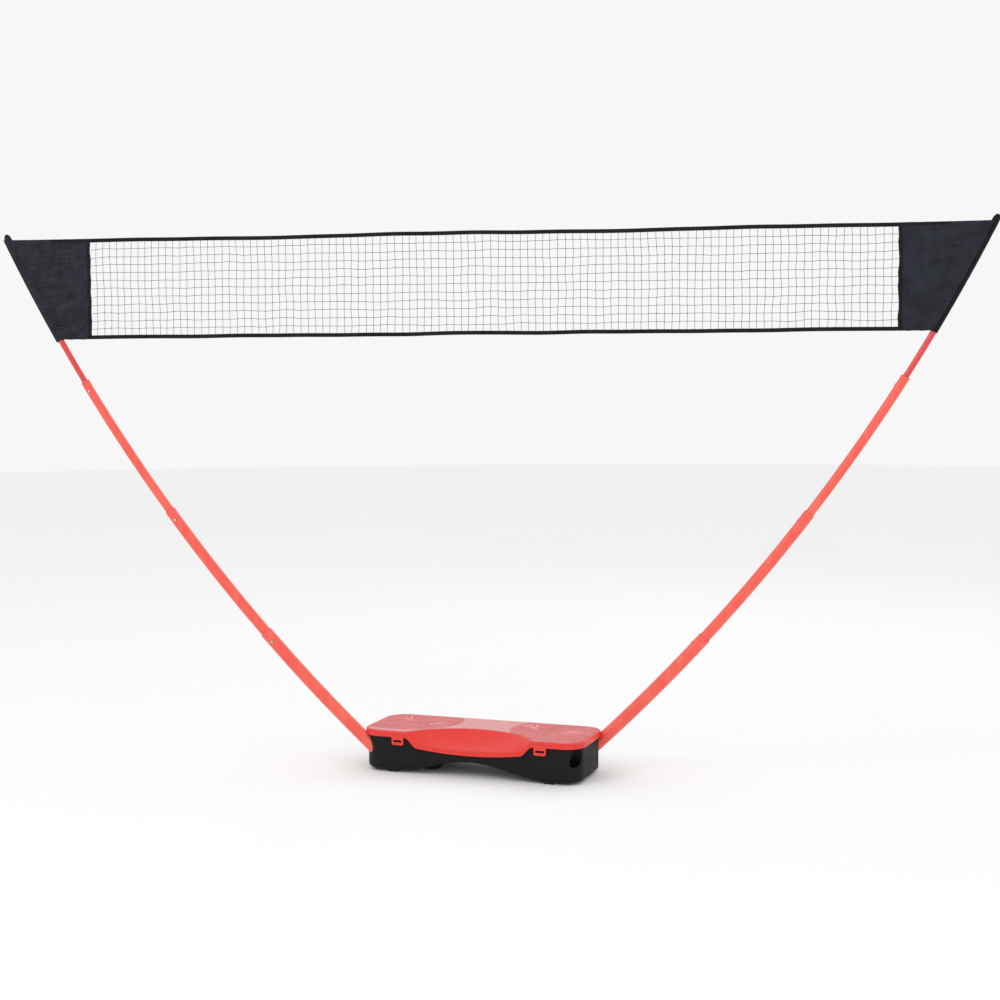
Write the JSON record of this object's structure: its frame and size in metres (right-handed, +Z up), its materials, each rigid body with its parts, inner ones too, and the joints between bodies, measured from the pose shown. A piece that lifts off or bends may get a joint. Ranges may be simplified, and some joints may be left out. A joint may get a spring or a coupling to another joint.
{
  "type": "portable badminton net",
  "caption": "Portable badminton net: a hinged carry case whose corner sockets hold two bowed telescopic poles with the net hung between their tips.",
  "frame": {"origin": "on the ground under the middle of the case, which is also the middle of the whole object's box", "axes": "+X along the case towards its right end, -Y towards the handle and latches, +Z up"},
  "size_m": [2.9608, 0.6036, 1.6555],
  "materials": {
    "case_plastic": "fine moulded grain",
    "socket_plastic": "smooth moulded",
    "foot_rubber": "matte",
    "steel": "bright",
    "latch_plastic": "satin",
    "lid_plastic": "satin moulded",
    "panel_plastic": "semi-matte printed",
    "pole_tube": "satin painted red",
    "rod_glassfibre": "gloss",
    "plug_plastic": "smooth",
    "tape_webbing": "woven",
    "wing_nylon": "shiny woven nylon",
    "pocket_nylon": "woven",
    "cap_plastic": "smooth",
    "mesh_cord": "knotted twine"
  },
  "bodies": {
    "case": {"case_base": "case_plastic", "hinge_pin_left": "steel", "hinge_pin_right": "steel", "top_tape": "tape_webbing", "bottom_tape": "tape_webbing", "net_mesh": "mesh_cord", "foot_front_left": "foot_rubber", "foot_front_right": "foot_rubber", "foot_rear_left": "foot_rubber", "foot_rear_right": "foot_rubber", "socket_front_left": "socket_plastic", "socket_front_right": "socket_plastic", "socket_rear_left": "socket_plastic", "socket_rear_right": "socket_plastic", "side_tape_left": "tape_webbing", "wing_left": "wing_nylon", "pole_pocket_left": "pocket_nylon", "side_tape_right": "tape_webbing", "wing_right": "wing_nylon", "pole_pocket_right": "pocket_nylon"},
    "lid": {"lid_shell": "lid_plastic", "lid_panel": "panel_plastic", "latch_pin_left": "steel", "latch_pin_right": "steel"},
    "latch_left": {"latch_left": "latch_plastic"},
    "latch_right": {"latch_right": "latch_plastic"},
    "pole_left_1": {"pole_left_tube_1": "pole_tube", "pole_left_foot_plug": "plug_plastic"},
    "pole_left_2": {"pole_left_tube_2": "pole_tube", "pole_left_guide_plug_2": "plug_plastic", "button_spring_left_1": "steel"},
    "pole_left_3": {"pole_left_tube_3": "pole_tube", "pole_left_guide_plug_3": "plug_plastic", "button_spring_left_2": "steel", "pole_left_mouth_bush": "plug_plastic"},
    "pole_left_4": {"pole_left_tube_4": "rod_glassfibre", "pole_left_guide_plug_4": "plug_plastic", "button_spring_left_3": "steel", "tip_cap_left": "cap_plastic"},
    "button_left_1": {"snap_button_left_1": "steel"},
    "button_left_2": {"snap_button_left_2": "steel"},
    "button_left_3": {"snap_button_left_3": "steel"},
    "pole_right_1": {"pole_right_tube_1": "pole_tube", "pole_right_foot_plug": "plug_plastic"},
    "pole_right_2": {"pole_right_tube_2": "pole_tube", "pole_right_guide_plug_2": "plug_plastic", "button_spring_right_1": "steel"},
    "pole_right_3": {"pole_right_tube_3": "pole_tube", "pole_right_guide_plug_3": "plug_plastic", "button_spring_right_2": "steel", "pole_right_mouth_bush": "plug_plastic"},
    "pole_right_4": {"pole_right_tube_4": "rod_glassfibre", "pole_right_guide_plug_4": "plug_plastic", "button_spring_right_3": "steel", "tip_cap_right": "cap_plastic"},
    "button_right_1": {"snap_button_right_1": "steel"},
    "button_right_2": {"snap_button_right_2": "steel"},
    "button_right_3": {"snap_button_right_3": "steel"}
  },
  "joints": [
    {"name": "lid_hinge", "type": "hinge", "parent": "case", "child": "lid", "pos_m": [0, 0.1345, 0.1055], "axis": [-1, 0, 0], "range_deg": [0, 105]},
    {"name": "latch_left_pivot", "type": "hinge", "parent": "lid", "child": "latch_left", "pos_m": [-0.228, -0.1278, 0.1138], "axis": [-1, 0, 0], "range_deg": [0, 100]},
    {"name": "latch_right_pivot", "type": "hinge", "parent": "lid", "child": "latch_right", "pos_m": [0.228, -0.1278, 0.1138], "axis": [-1, 0, 0], "range_deg": [0, 100]},
    {"name": "pole_left_pull_out", "type": "hinge", "parent": "case", "child": "pole_left_1", "pos_m": [3.34946, 0.51539, 4.04408], "axis": [-0.165, 0.9863, 0], "range_deg": [0, 0.8418]},
    {"name": "pole_left_slide_2", "type": "hinge", "parent": "pole_left_1", "child": "pole_left_2", "pos_m": [3.34946, 0.51539, 4.04408], "axis": [0.165, -0.9863, 0], "range_deg": [0, 4.42], "deforming": ["snap_button_left_1"]},
    {"name": "pole_left_slide_3", "type": "hinge", "parent": "pole_left_2", "child": "pole_left_3", "pos_m": [3.34946, 0.51539, 4.04408], "axis": [0.165, -0.9863, 0], "range_deg": [0, 4.42], "deforming": ["snap_button_left_2"]},
    {"name": "pole_left_slide_4", "type": "hinge", "parent": "pole_left_3", "child": "pole_left_4", "pos_m": [3.34946, 0.51539, 4.04408], "axis": [0.165, -0.9863, 0], "range_deg": [0, 4.42], "deforming": ["snap_button_left_3"]},
    {"name": "button_left_1_press", "type": "slide", "parent": "pole_left_2", "child": "button_left_1", "axis": [-0.165, 0.9863, 0], "range_m": [0, 0.0043], "stiffness_N_per_m": 600, "springref_m": -0.004, "deforming": ["button_spring_left_1"]},
    {"name": "button_left_2_press", "type": "slide", "parent": "pole_left_3", "child": "button_left_2", "axis": [-0.165, 0.9863, 0], "range_m": [0, 0.0043], "stiffness_N_per_m": 600, "springref_m": -0.004, "deforming": ["button_spring_left_2"]},
    {"name": "button_left_3_press", "type": "slide", "parent": "pole_left_4", "child": "button_left_3", "axis": [-0.165, 0.9863, 0], "range_m": [0, 0.0043], "stiffness_N_per_m": 600, "springref_m": -0.004, "deforming": ["button_spring_left_3"]},
    {"name": "pole_right_pull_out", "type": "hinge", "parent": "case", "child": "pole_right_1", "pos_m": [-3.34946, -0.51539, 4.04408], "axis": [0.165, -0.9863, 0], "range_deg": [0, 0.8418]},
    {"name": "pole_right_slide_2", "type": "hinge", "parent": "pole_right_1", "child": "pole_right_2", "pos_m": [-3.34946, -0.51539, 4.04408], "axis": [-0.165, 0.9863, 0], "range_deg": [0, 4.42], "deforming": ["snap_button_right_1"]},
    {"name": "pole_right_slide_3", "type": "hinge", "parent": "pole_right_2", "child": "pole_right_3", "pos_m": [-3.34946, -0.51539, 4.04408], "axis": [-0.165, 0.9863, 0], "range_deg": [0, 4.42], "deforming": ["snap_button_right_2"]},
    {"name": "pole_right_slide_4", "type": "hinge", "parent": "pole_right_3", "child": "pole_right_4", "pos_m": [-3.34946, -0.51539, 4.04408], "axis": [-0.165, 0.9863, 0], "range_deg": [0, 4.42], "deforming": ["snap_button_right_3"]},
    {"name": "button_right_1_press", "type": "slide", "parent": "pole_right_2", "child": "button_right_1", "axis": [0.7312, 0.1224, -0.6711], "range_m": [0, 0.0043], "stiffness_N_per_m": 600, "springref_m": -0.004, "deforming": ["button_spring_right_1"]},
    {"name": "button_right_2_press", "type": "slide", "parent": "pole_right_3", "child": "button_right_2", "axis": [0.7872, 0.1317, -0.6025], "range_m": [0, 0.0043], "stiffness_N_per_m": 600, "springref_m": -0.004, "deforming": ["button_spring_right_2"]},
    {"name": "button_right_3_press", "type": "slide", "parent": "pole_right_4", "child": "button_right_3", "axis": [0.8369, 0.1401, -0.5291], "range_m": [0, 0.0043], "stiffness_N_per_m": 600, "springref_m": -0.004, "deforming": ["button_spring_right_3"]}
  ]
}
